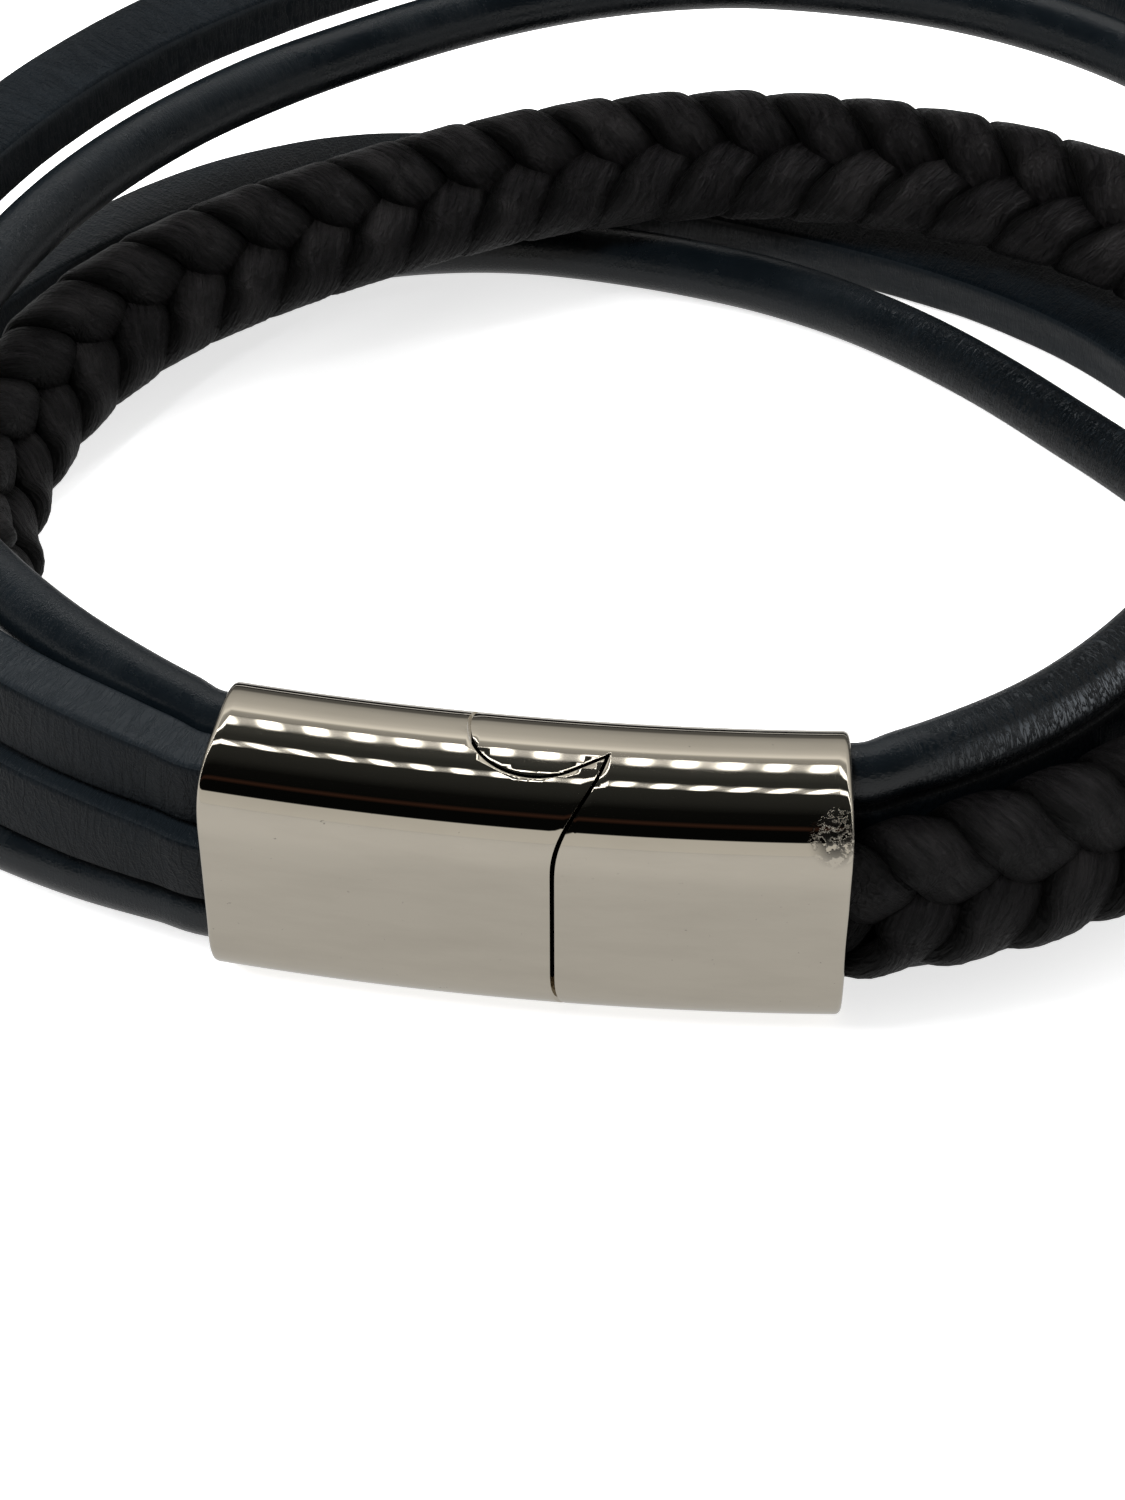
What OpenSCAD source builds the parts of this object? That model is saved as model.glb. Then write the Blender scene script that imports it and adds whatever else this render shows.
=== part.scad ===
// Bracelet of five leather strands that run once round the wrist between the two halves of a
// steel hook clasp. It lies on its edge: X runs along the clasp, Y from the clasp to the back of
// the loop and Z is up. All sizes are in millimetres.

/* [Clasp] */
// Length of the closed clasp along its arch
clasp_len = 35.8; // [34:0.2:42]
// Width of the clasp, which stands upright here
clasp_w = 17.5; // [17:0.1:20]
// Thickness of the clasp from its face to its back
clasp_t = 10; // [9.8:0.1:11]
// Wall round the sockets that hold the strands
clasp_wall = 0.8; // [0.6:0.05:0.8]
// Radius that rounds the clasp's four long edges
clasp_corner_r = 3; // [2:0.1:3.2]
// Angle that the arched clasp bends through
clasp_arch = 11.5; // [4:0.5:14]
// Depth of each socket
socket_depth = 8; // [6:0.5:9]
// Gap between the two halves of the clasp
seam_gap = 0.2; // [0.1:0.02:0.3]
// Radius of the tongue's round end
tongue_r = 3.8; // [3.2:0.1:4.2]
// Width of the shallow notch across the back of the tongue
notch_w = 2.2; // [1.6:0.1:3]
// Depth of that notch
notch_deep = 0.4; // [0.2:0.05:0.6]

/* [Strands] */
// Diameter of the two round cords
cord_d = 3.9; // [3.4:0.05:4]
// Width of the two flat straps
strap_w = 5.4; // [4.8:0.1:5.6]
// Thickness of the two flat straps
strap_t = 3.4; // [2.6:0.1:3.5]
// Chamfer along the straps' long edges
strap_edge = 0.35; // [0.2:0.05:0.6]
// Width of the flat braid
braid_w = 8.8; // [8.4:0.1:9]
// Thickness of the flat braid
braid_t = 4.7; // [4.4:0.05:4.8]
// Width of one strip of the braid
strip_w = 2.8; // [2.5:0.05:2.9]
// Thickness of one strip of the braid
strip_t = 1.4; // [1.2:0.05:1.45]
// Length of braid in which one strip comes back to the same edge
braid_pitch = 15; // [13:0.5:18]
// Share of their size that the strands keep where they are pressed into the clasp
pinch = 0.9; // [0.84:0.01:0.91]

/* [Loop] */
// Width of the loop between the middles of its strands
loop_w = 84; // [80:1:96]
// Depth of the loop, from the middle of the clasp's ends to the middle of the back
loop_d = 64; // [58:1:70]
// How far the strands fan outwards at the back
fan_out = 18; // [12:0.5:20]
// How far the strands fan upwards at the back
fan_up = 16; // [14:0.5:20]
// How far the loop's middle lies to the right of the clasp's middle
clasp_aside = 5; // [2:0.5:6]
// Angle by which the loop is turned to the left behind the clasp
loop_turn = 2.8; // [-2:0.2:5]

/* [Hidden] */
round_fn = 64;

// Room between the strands and the sockets' walls, and how the strands leave the sockets
strand_gap = 0.15;
strand_short = 1;
strand_in = socket_depth - strand_short;
lead_len = 3;
lead_share = 0.1;
pinch_share = 0.04;
slope_step = 0.002;

// How finely the strands are divided
cord_sides = 10;
cord_steps = 72;
strap_steps = 64;
strip_steps = 176;
strip_edge = 0.45;
strip_slope = 0.05;
strip_back = 0.6;
mark_steps = 160;

// The clasp is an arch round a point behind it, so every place on it is a bearing on that arch.
arch_r = clasp_len / (clasp_arch * PI / 180);
half_arch = clasp_arch / 2;
clasp_z = clasp_w / 2;
socket_t = clasp_t - 2 * clasp_wall;
socket_w = clasp_w - 2 * clasp_wall;
socket_corner_r = clasp_corner_r - clasp_wall;
socket_angle = socket_depth / arch_r * 180 / PI;
socket_past = 1;

// The seam between the halves: a round tongue behind, a pointed nose in front of it. The two
// bearings turn left from the direction of X.
tongue_aside = 0.2;
tongue_deep = 2.45;
tongue_mid = [tongue_aside, clasp_t / 2 - tongue_deep];
nose_bearing = -22;
nose_reach = 0.75;
nose_tip = tongue_mid + (tongue_r + nose_reach) * [cos(nose_bearing), sin(nose_bearing)];
nose_r = 12;
nose_turn = 172;
nose_mid = nose_tip + nose_r * [cos(nose_turn), sin(nose_turn)];
seam_lap = 0.5;
seam_far = clasp_len;
seam_front = -clasp_t / 2 - seam_lap;

function tangent_point(p, c, r) =
    let (v = p - c, a = atan2(v[1], v[0]) - acos(r / norm(v)))
    c + r * [cos(a), sin(a)];

// Where a line from p along the unit vector d leaves the circle of radius r round c
function leave_circle(p, d, c, r) =
    let (m = p - c, b = m * d)
    p + d * (-b + sqrt(b * b - m * m + r * r));

module rounded_section(t, w, r) {
    square([t, w - 2 * r], center = true);
    square([t - 2 * r, w], center = true);
    for (sx = [-1, 1], sy = [-1, 1])
        translate([sx * (t / 2 - r), sy * (w / 2 - r)])
            circle(r = r, $fn = round_fn);
}

module arch_bar(t, w, r, from, to) {
    translate([0, arch_r, clasp_z])
        rotate([0, 0, from - 90])
            rotate_extrude(angle = to - from, $fn = 4 * round_fn)
                translate([arch_r, 0])
                    rounded_section(t, w, r);
}

// All that lies on the tongue's side of the seam, grown by g towards the nose. The nose is the
// part of a disc that lies below the line that touches the tongue.
module tongue_side(g = 0) {
    root = tangent_point(nose_tip, tongue_mid, tongue_r);
    edge = (root - nose_tip) / norm(root - nose_tip);
    away = [-edge[1], edge[0]];
    touch = root + away * g;
    line_start = touch - edge * clasp_t;
    line_end = touch + edge * clasp_t;
    front = leave_circle([nose_mid[0], seam_front], [1, 0], nose_mid, nose_r - g);
    difference() {
        union() {
            upright()
                polygon([touch + away * seam_lap, tongue_mid, [tongue_mid[0], clasp_t],
                         [seam_far, clasp_t], [seam_far, seam_front], front - [seam_lap, 0]]);
            translate(tongue_mid)
                upright()
                    circle(r = tongue_r + g, $fn = round_fn);
        }
        intersection() {
            translate(nose_mid)
                upright()
                    circle(r = nose_r - g, $fn = 4 * round_fn);
            upright()
                polygon([line_start, line_end, [line_start[0], line_end[1]]]);
        }
    }
}

// Stands a plan up through the whole width of the clasp and past it
module upright() {
    translate([0, 0, -clasp_w / 2])
        linear_extrude(height = 2 * clasp_w)
            children();
}

module clasp_body() {
    arch_bar(clasp_t, clasp_w, clasp_corner_r, -half_arch, half_arch);
}

module clasp_hook() {
    color("silver")
        difference() {
            clasp_body();
            arch_bar(socket_t, socket_w, socket_corner_r,
                     -half_arch - socket_past, -half_arch + socket_angle);
            tongue_side(seam_gap);
        }
}

module clasp_tongue() {
    notch_x = nose_tip[0] - notch_w / 2;
    color("gainsboro")
        difference() {
            intersection() {
                clasp_body();
                tongue_side();
            }
            arch_bar(socket_t, socket_w, socket_corner_r,
                     half_arch - socket_angle, half_arch + socket_past);
            translate([notch_x, clasp_t / 2 - notch_deep, -clasp_w / 2])
                cube([notch_w, clasp_t, 2 * clasp_w]);
        }
}

// A place beside the clasp's middle line: a bearing on its arch and a step away from the wrist
function arch_point(bearing, out) =
    [(arch_r + out) * sin(bearing), arch_r - (arch_r + out) * cos(bearing)];

mouth_x = arch_r * sin(half_arch);
mouth_y = arch_r * (1 - cos(half_arch));
half_w = loop_w / 2;
half_d = loop_d / 2;
first_bearing = asin((mouth_x - clasp_aside) / half_w);
last_bearing = 360 - asin((mouth_x + clasp_aside) / half_w);
loop_len = PI * (half_w + half_d) * (last_bearing - first_bearing) / 360;
loop_y = mouth_y + half_d * (cos(first_bearing) + cos(last_bearing)) / 2;

// The oval that all strands follow, by a bearing that starts at the front and turns to the right
function oval(a) = [clasp_aside + half_w * sin(a), loop_y - half_d * cos(a)];
function oval_out(a) =
    let (n = [sin(a) / half_w, -cos(a) / half_d])
    n / norm(n);

function ease(x) =
    let (t = min(max(x, 0), 1))
    t * t * (3 - 2 * t);

// Turns a place round the middle of the clasp, as the loop is turned
function turned(p) =
    [p[0] * cos(loop_turn) - p[1] * sin(loop_turn), p[0] * sin(loop_turn) + p[1] * cos(loop_turn)];

// Reads a column of a table at the share u of its length, as a smooth curve through its rows
function read(rows, u, col) =
    let (last = len(rows) - 1,
         k = min(floor(u * last), last - 1),
         f = u * last - k,
         a = rows[max(k - 1, 0)][col],
         b = rows[k][col],
         c = rows[k + 1][col],
         d = rows[min(k + 2, last)][col])
    b + f * ((c - a) / 2 + f * (a - 2.5 * b + 2 * c - d / 2 + f * (1.5 * (b - c) + (d - a) / 2)));

OUT = 0;
UP = 1;
ROLL = 2;

// Where a strand enters a socket. The first two columns are shares of the room that is left
// between the strand and the socket's walls, away from the wrist and up.
UPPER_CORD_ENDS = [[-1, 1, 0], [-1, 1, 0]];
UPPER_STRAP_ENDS = [[-1, 0.3, 0], [0.49, 0.93, 0]];
BRAID_ENDS = [[1, -0.13, 2], [-0.85, -0.82, 0]];
LOWER_STRAP_ENDS = [[-0.52, -0.98, 90], [0.95, -0.05, 0]];
LOWER_CORD_ENDS = [[-1, -0.44, 0], [1, -0.83, 0]];

// The way of each strand, in even steps of bearing from the right socket to the left one.
// Columns: share of fan_out beyond the oval, share of fan_up above lying flat, roll in degrees.
UPPER_CORD_WAY = [[-0.28, 0.88, 0], [-0.3, 0.975, 0], [0.6, 0.91, 0], [0.65, 0.91, 0],
                  [0.29, 0.91, 0], [0.1, 0.915, 0], [0.115, 0.94, 0]];
UPPER_STRAP_WAY = [[-0.24, 0.525, 10], [0.14, 0.82, 80], [0.91, 0.9, 90], [1.01, 1.05, 90],
                   [0.63, 1.05, 90], [0.415, 0.985, 80], [0.405, 0.75, 15]];
BRAID_WAY = [[0.09, 0.25, 15], [0.28, 0.24, -10], [0.29, 0.26, -45], [0.13, 0.28, -56],
             [-0.12, 0.26, -45], [-0.11, 0.26, -38], [-0.06, 0.21, -15]];
LOWER_STRAP_WAY = [[-0.1, 0, 90], [0.01, 0, 90], [0.12, 0.02, 90], [0.2, 0.03, 90],
                   [0.35, 0.25, 85], [0.37, 0.23, 60], [0.45, 0.258, 20]];
LOWER_CORD_WAY = [[-0.49, 0.187, 0], [-0.28, 0, 0], [-0.375, 0, 0], [-0.135, 0, 0],
                  [0.14, 0, 0], [0.06, 0, 0], [0.5, 0, 0]];

// Half of the height that a section of half sizes [across, along] takes when it is rolled
function rolled_up(half, roll) = half[0] * abs(sin(roll)) + half[1] * abs(cos(roll));
function rolled_out(half, roll) = half[0] * abs(cos(roll)) + half[1] * abs(sin(roll));

// Step outwards and height of a strand in a socket
function seat(half, end) =
    let (room_out = socket_t / 2 - strand_gap - pinch * rolled_out(half, end[ROLL]),
         room_up = socket_w / 2 - strand_gap - pinch * rolled_up(half, end[ROLL]))
    [room_out * end[OUT], clasp_z + room_up * end[UP], end[ROLL]];

// The whole table of a strand in millimetres, with its two ends
function way_rows(half, ends, way) =
    [seat(half, ends[0]),
     for (row = way)
         [fan_out * row[OUT], fan_up * row[UP] + rolled_up(half, row[ROLL]), row[ROLL]],
     seat(half, ends[1])];

function lay(flat, z) = [flat[0], flat[1], z];

// A place along the oval and its table, before it is led into the sockets
function free_place(rows, u) =
    let (a = first_bearing + u * (last_bearing - first_bearing),
         lowest = min([for (row = rows) row[UP]]))
    lay(turned(oval(a) + oval_out(a) * read(rows, u, OUT)), max(read(rows, u, UP), lowest));

// Leads a place p to the mouth m of a socket, which it leaves along the unit vector d
function lead_in(p, m, d, miss, u) =
    let (q = p + miss * (1 - ease(u / lead_share)),
         line = m + d * ((q - m) * d))
    line + (q - line) * ease(u * loop_len / lead_len);

right_dir = [cos(half_arch), sin(half_arch), 0];
left_dir = [-cos(half_arch), sin(half_arch), 0];

function strand_place(rows, u) =
    let (last = len(rows) - 1,
         p = free_place(rows, u),
         right = lay(arch_point(half_arch, rows[0][OUT]), rows[0][UP]),
         left = lay(arch_point(-half_arch, rows[last][OUT]), rows[last][UP]))
    u < 0.5 ? lead_in(p, right, right_dir, right - free_place(rows, 0), u)
            : lead_in(p, left, left_dir, left - free_place(rows, 1), 1 - u);

// Places inside the sockets follow the arch of the clasp. The share t runs from -1 at the bottom
// of the strand's seat in the right socket to 0 at its mouth, along the way from 0 to 1, and on
// to 2 at the bottom of the left one.
function place(rows, t) =
    let (last = len(rows) - 1, sink = strand_in / arch_r * 180 / PI)
    t < 0 ? lay(arch_point(half_arch + t * sink, rows[0][OUT]), rows[0][UP])
          : t > 1 ? lay(arch_point(-half_arch + (t - 1) * sink, rows[last][OUT]), rows[last][UP])
                  : strand_place(rows, t);

function unit(v) = v / norm(v);

// The frame of a strand at t: its middle, then its axes outwards and upwards after the roll,
// and the share of its size that it keeps there
function frame_at(rows, t) =
    let (ahead = place(rows, t + slope_step) - place(rows, t - slope_step),
         way = unit(ahead),
         flat_out = unit(cross(way, [0, 0, 1])),
         up = cross(flat_out, way),
         roll = read(rows, min(max(t, 0), 1), ROLL),
         ends = ease(min(t, 1 - t) / pinch_share))
    [place(rows, t),
     flat_out * cos(roll) + up * sin(roll),
     up * cos(roll) - flat_out * sin(roll),
     pinch + (1 - pinch) * ends,
     way];

// Stations along a strand of n free steps, with the ends inside the sockets
function stations(n) = [-1, -0.5, for (k = [0:n]) k / n, 1.5, 2];

// Skins a list of rings that all have as many points
module skin(rings) {
    n = len(rings[0]);
    last = len(rings) - 1;
    polyhedron(
        points = [for (ring = rings) each ring],
        faces = concat(
            [[for (k = [n - 1:-1:0]) k]],
            [[for (k = [0:n - 1]) last * n + k]],
            [for (r = [0:last - 1], k = [0:n - 1]) each
                let (a = r * n + k, b = r * n + (k + 1) % n)
                [[a, b, b + n], [a, b + n, a + n]]]),
        convexity = 10);
}

// Section of a flat strap: a rectangle with cut corners, across its thickness and width
function strap_section(t, w, c) =
    [for (corner = [[1, 1], [-1, 1], [-1, -1], [1, -1]])
        let (x = corner[0] * t / 2, y = corner[1] * w / 2,
             cx = corner[0] * c, cy = corner[1] * c,
             first = [x, y - cy], second = [x - cx, y],
             turn = corner[0] * corner[1] > 0)
        each turn ? [first, second] : [second, first]];

function round_section(d, sides) =
    [for (k = [0:sides - 1]) [cos(360 * k / sides), sin(360 * k / sides)] * d / 2];

function strand_rings(rows, section, steps) =
    [for (t = stations(steps))
        let (f = frame_at(rows, t))
        [for (p = section) f[0] + f[3] * (f[1] * p[0] + f[2] * p[1])]];

cord_half = [cord_d / 2, cord_d / 2];
strap_half = [strap_t / 2, strap_w / 2];
braid_half = [braid_t / 2, braid_w / 2];

cord_section = round_section(cord_d, cord_sides);
strap_plan = strap_section(strap_t, strap_w, strap_edge);
upper_cord_rings = strand_rings(way_rows(cord_half, UPPER_CORD_ENDS, UPPER_CORD_WAY),
                                cord_section, cord_steps);
lower_cord_rings = strand_rings(way_rows(cord_half, LOWER_CORD_ENDS, LOWER_CORD_WAY),
                                cord_section, cord_steps);
upper_strap_rings = strand_rings(way_rows(strap_half, UPPER_STRAP_ENDS, UPPER_STRAP_WAY),
                                 strap_plan, strap_steps);
lower_strap_rings = strand_rings(way_rows(strap_half, LOWER_STRAP_ENDS, LOWER_STRAP_WAY),
                                 strap_plan, strap_steps);

module upper_round_cord() {
    color("black")
        skin(upper_cord_rings);
}

module lower_round_cord() {
    color("black")
        skin(lower_cord_rings);
}

module upper_flat_strap() {
    color("darkslategray")
        skin(upper_strap_rings);
}

module lower_flat_strap() {
    color("darkslategray")
        skin(lower_strap_rings);
}

// How far along the braid each share of its way lies, and the seats in the sockets
braid_rows = way_rows(braid_half, BRAID_ENDS, BRAID_WAY);
braid_marks = [for (k = 0, s = 0; k <= mark_steps;
                    s = s + norm(place(braid_rows, (k + 1) / mark_steps)
                                 - place(braid_rows, k / mark_steps)), k = k + 1)
    [s, k / mark_steps]];
braid_len = braid_marks[mark_steps][0];
braid_road = concat([[-strand_in, -1]], braid_marks, [[braid_len + strand_in, 2]]);
strip_in = strand_in - strip_back;
braid_turns = round(braid_len / braid_pitch);

// One strip of the braid swings from edge to edge while it dips in and out twice as often. Its
// phase goes once round for each pitch of the braid.
strip_reach = (braid_w - strip_w) / 2;
strip_lift = (braid_t - strip_t) / 2;

function strip_phase(number, s) = 120 * number + 360 * braid_turns * s / braid_len;
// Each motion is a wave and a weaker one three times as fast, which sharpens its turns.
ACROSS_WAVES = [1.03, 0.055];
DEEP_WAVES = [0.885, 0.138];
ROLL_WAVES = [-28.2, 3.8];
function strip_across(f) =
    strip_reach * (ACROSS_WAVES[0] * sin(f) + ACROSS_WAVES[1] * sin(3 * f));
function strip_deep(f) = -strip_lift * (DEEP_WAVES[0] * sin(2 * f) + DEEP_WAVES[1] * sin(6 * f));
function strip_roll(f) = ROLL_WAVES[0] * cos(f) + ROLL_WAVES[1] * cos(3 * f);

function strip_middle(number, s) =
    let (b = frame_at(braid_rows, lookup(s, braid_road)), f = strip_phase(number, s))
    b[0] + b[3] * (b[2] * strip_across(f) + b[1] * strip_deep(f));

function strip_rings(number) =
    let (section = strap_section(strip_t, strip_w, strip_edge),
         step = (braid_len + 2 * strip_in) / strip_steps)
    [for (k = [0:strip_steps])
        let (s = k * step - strip_in,
             b = frame_at(braid_rows, lookup(s, braid_road)),
             r = strip_roll(strip_phase(number, s)),
             way = unit(strip_middle(number, s + strip_slope)
                        - strip_middle(number, s - strip_slope)),
             deep = b[1] * cos(r) + b[2] * sin(r),
             thick = unit(deep - way * (deep * way)),
             wide = cross(thick, way),
             middle = strip_middle(number, s))
        [for (p = section) middle + b[3] * (thick * p[0] + wide * p[1])]];

braid_strips = [for (number = [0:2]) strip_rings(number)];

module braid_strip(number) {
    color("dimgray")
        skin(braid_strips[number]);
}

// The strands reach further than the clasp to the back and the sides, and the clasp lies in
// front of them all, so these make the box.
function reach(col) =
    [for (rings = concat([upper_cord_rings, lower_cord_rings, upper_strap_rings,
                          lower_strap_rings], braid_strips), ring = rings, p = ring) p[col]];
box_middle = [for (col = [0, 1])
    let (all = concat(reach(col), [-clasp_t / 2]))
    (min(all) + max(all)) / 2];

// Sets the whole bracelet down with the middle of its box over the origin
module centred() {
    translate([-box_middle[0], -box_middle[1], 0])
        children();
}

centred() clasp_hook();
centred() clasp_tongue();
centred() braid_strip(0);  // braid_strip_1
centred() braid_strip(1);  // braid_strip_2
centred() braid_strip(2);  // braid_strip_3
centred() upper_round_cord();
centred() lower_round_cord();
centred() upper_flat_strap();
centred() lower_flat_strap();
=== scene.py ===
# %% [markdown]
# # A leather bracelet with a steel hook clasp
#
# The bracelet lies on its edge. A polished steel clasp in two halves holds five strands of black
# leather that go once round the wrist: a flat braid of three strips, two round cords and two flat
# straps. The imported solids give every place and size. This file keeps those places, and gives each
# piece the finer form and the finish that a plain solid lacks.

# %% Load the fixed frame
import math

import bpy
import numpy as np
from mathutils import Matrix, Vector, noise


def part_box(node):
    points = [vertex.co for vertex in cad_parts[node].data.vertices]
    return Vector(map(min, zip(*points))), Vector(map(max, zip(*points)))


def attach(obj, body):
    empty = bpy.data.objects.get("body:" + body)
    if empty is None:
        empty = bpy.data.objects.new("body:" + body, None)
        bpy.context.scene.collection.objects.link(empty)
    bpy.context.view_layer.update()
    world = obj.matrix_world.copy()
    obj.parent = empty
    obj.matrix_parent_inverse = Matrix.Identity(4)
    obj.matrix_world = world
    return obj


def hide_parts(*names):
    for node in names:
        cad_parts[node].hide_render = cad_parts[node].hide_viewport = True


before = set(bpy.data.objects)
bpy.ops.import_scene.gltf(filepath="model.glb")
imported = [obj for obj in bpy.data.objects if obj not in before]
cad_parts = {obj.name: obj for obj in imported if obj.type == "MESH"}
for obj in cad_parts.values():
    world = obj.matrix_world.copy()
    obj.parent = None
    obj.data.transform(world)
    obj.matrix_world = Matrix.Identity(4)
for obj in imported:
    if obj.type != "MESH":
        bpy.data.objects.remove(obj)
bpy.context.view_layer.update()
MM = 0.001
print("nodes:", ", ".join(sorted(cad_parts)))

# %% [markdown]
# ## The camera
#
# The photograph looks down at the clasp from the front, 48 degrees above the table, from close by,
# so the back of the loop is clearly smaller than the clasp. A long lens at the real distance gives
# the same perspective. The camera is worked out from one point: the middle of the clasp, where it
# lies in the picture in pixels, and how far away it is in millimetres.

# %% Camera
PICTURE_W, PICTURE_H = 1125, 1500
FOCAL_PIXELS, SENSOR_W, CLIP_START = 3838, 36, 0.01
CAMERA_TURN, CAMERA_DOWN = 6.3, 48
CLASP_HALF_T, CLASP_HALF_W = 5.0, 8.75
CLASP_SEEN, CLASP_FAR = (531, 860), 219.3
hook_low, tongue_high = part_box("clasp_hook")[0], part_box("clasp_tongue")[1]
clasp_mid = Vector(((hook_low[0] + tongue_high[0]) / 2, hook_low[1] + CLASP_HALF_T * MM,
                    CLASP_HALF_W * MM))
turn, down = math.radians(CAMERA_TURN), math.radians(CAMERA_DOWN)
right = Vector((math.cos(turn), math.sin(turn), 0))
look = Vector((-math.sin(turn) * math.cos(down), math.cos(turn) * math.cos(down), -math.sin(down)))
above = right.cross(look)
ray = (look + right * ((CLASP_SEEN[0] - PICTURE_W / 2) / FOCAL_PIXELS)
       - above * ((CLASP_SEEN[1] - PICTURE_H / 2) / FOCAL_PIXELS))
clasp_far = CLASP_FAR * MM
bpy.ops.object.camera_add(location=clasp_mid - ray * clasp_far)
camera = bpy.context.object
camera.rotation_mode = "QUATERNION"
camera.rotation_quaternion = look.to_track_quat("-Z", "Y")
camera.data.sensor_width = SENSOR_W
camera.data.lens = FOCAL_PIXELS / PICTURE_H * camera.data.sensor_width
camera.data.clip_start = CLIP_START
bpy.context.scene.camera = camera
print("camera at", [round(v * 1000, 1) for v in camera.location], "mm, lens",
      round(camera.data.lens, 1))

# %% [markdown]
# ## The ways of the strands
#
# Each strand follows one oval round the wrist, and a small table says how far it strays from that
# oval, how high it lies and how far it is rolled. The tables are the ones that the solids were made
# from, so every leather piece below lies exactly where its solid lies. Lengths here are in
# millimetres, measured from the middle of the clasp.

# %% Sizes of the solids
CLASP_LEN, CLASP_W, CLASP_T, CLASP_WALL, CLASP_ARCH = 35.8, 17.5, 10.0, 0.8, 11.5
SOCKET_DEPTH, STRAND_GAP, PINCH = 8.0, 0.15, 0.9
CORD_D, STRAP_W, STRAP_T = 3.9, 5.4, 3.4
BRAID_W, BRAID_T, BRAID_PITCH = 8.8, 4.7, 15.0
LOOP_W, LOOP_D, LOOP_TURN, FAN_OUT, FAN_UP, CLASP_ASIDE = 84.0, 64.0, 2.8, 18.0, 16.0, 5.0
STRAND_IN, LEAD_LEN, LEAD_SHARE, PINCH_SHARE = SOCKET_DEPTH - 1, 3.0, 0.1, 0.04
arch_r = CLASP_LEN / math.radians(CLASP_ARCH)
half_arch = CLASP_ARCH / 2
clasp_z = CLASP_W / 2
socket_t, socket_w = CLASP_T - 2 * CLASP_WALL, CLASP_W - 2 * CLASP_WALL
print("the clasp bends on a radius of", round(arch_r), "mm")

# %% [markdown]
# Each table has one row for each mouth of the clasp, first the right one and then the left one,
# and seven rows for the way between them. In the two mouth rows a strand's place is a share of the
# room in the socket, from -1 to 1. In the others it is a share of the fan that the strands spread
# into. The last column is the roll of the section in degrees.

# %% Tables of the strands
OUT, UP, ROLL = 0, 1, 2
WAYS = {
    "upper_cord": ([(-1, 1, 0), (-1, 1, 0)],
                   [(-0.28, 0.88, 0), (-0.3, 0.975, 0), (0.6, 0.91, 0), (0.65, 0.91, 0),
                    (0.29, 0.91, 0), (0.1, 0.915, 0), (0.115, 0.94, 0)]),
    "upper_strap": ([(-1, 0.3, 0), (0.49, 0.93, 0)],
                    [(-0.24, 0.525, 10), (0.14, 0.82, 80), (0.91, 0.9, 90), (1.01, 1.05, 90),
                     (0.63, 1.05, 90), (0.415, 0.985, 80), (0.405, 0.75, 15)]),
    "braid": ([(1, -0.13, 2), (-0.85, -0.82, 0)],
              [(0.09, 0.25, 15), (0.28, 0.24, -10), (0.29, 0.26, -45), (0.13, 0.28, -56),
               (-0.12, 0.26, -45), (-0.11, 0.26, -38), (-0.06, 0.21, -15)]),
    "lower_strap": ([(-0.52, -0.98, 90), (0.95, -0.05, 0)],
                    [(-0.1, 0, 90), (0.01, 0, 90), (0.12, 0.02, 90), (0.2, 0.03, 90),
                     (0.35, 0.25, 85), (0.37, 0.23, 60), (0.45, 0.258, 20)]),
    "lower_cord": ([(-1, -0.44, 0), (1, -0.83, 0)],
                   [(-0.49, 0.187, 0), (-0.28, 0, 0), (-0.375, 0, 0), (-0.135, 0, 0),
                    (0.14, 0, 0), (0.06, 0, 0), (0.5, 0, 0)]),
}
HALVES = {"upper_cord": (CORD_D / 2, CORD_D / 2), "lower_cord": (CORD_D / 2, CORD_D / 2),
          "upper_strap": (STRAP_T / 2, STRAP_W / 2), "lower_strap": (STRAP_T / 2, STRAP_W / 2),
          "braid": (BRAID_T / 2, BRAID_W / 2)}


def rolled(half, roll):
    """How far a section reaches outwards and upwards once it is rolled."""
    c, s = abs(math.cos(math.radians(roll))), abs(math.sin(math.radians(roll)))
    return half[0] * c + half[1] * s, half[0] * s + half[1] * c


def way_rows(strand):
    half = HALVES[strand]
    (first, last), way = WAYS[strand]

    def seat(end):
        out, up = rolled(half, end[ROLL])
        room_out = socket_t / 2 - STRAND_GAP - PINCH * out
        room_up = socket_w / 2 - STRAND_GAP - PINCH * up
        return room_out * end[OUT], clasp_z + room_up * end[UP], end[ROLL]

    middle = [(FAN_OUT * r[OUT], FAN_UP * r[UP] + rolled(half, r[ROLL])[1], r[ROLL]) for r in way]
    return [seat(first)] + middle + [seat(last)]


rows_of = {strand: way_rows(strand) for strand in WAYS}
for strand, rows in rows_of.items():
    print(strand, "lies", round(min(r[UP] for r in rows), 1), "to",
          round(max(r[UP] for r in rows), 1), "mm high")

# %% [markdown]
# A strand is led out of its socket in a straight line and then bends into its own way. The two
# functions below say where its middle is, and which way is outwards and upwards for its section.

# %% Place and frame of a strand
mouth_x = arch_r * math.sin(math.radians(half_arch))
mouth_y = arch_r * (1 - math.cos(math.radians(half_arch)))
half_w, half_d = LOOP_W / 2, LOOP_D / 2
first_bearing = math.degrees(math.asin((mouth_x - CLASP_ASIDE) / half_w))
last_bearing = 360 - math.degrees(math.asin((mouth_x + CLASP_ASIDE) / half_w))
loop_len = math.pi * (half_w + half_d) * (last_bearing - first_bearing) / 360
loop_y = mouth_y + half_d * (math.cos(math.radians(first_bearing))
                             + math.cos(math.radians(last_bearing))) / 2


def ease(x):
    x = min(max(x, 0.0), 1.0)
    return x * x * (3 - 2 * x)


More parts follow.
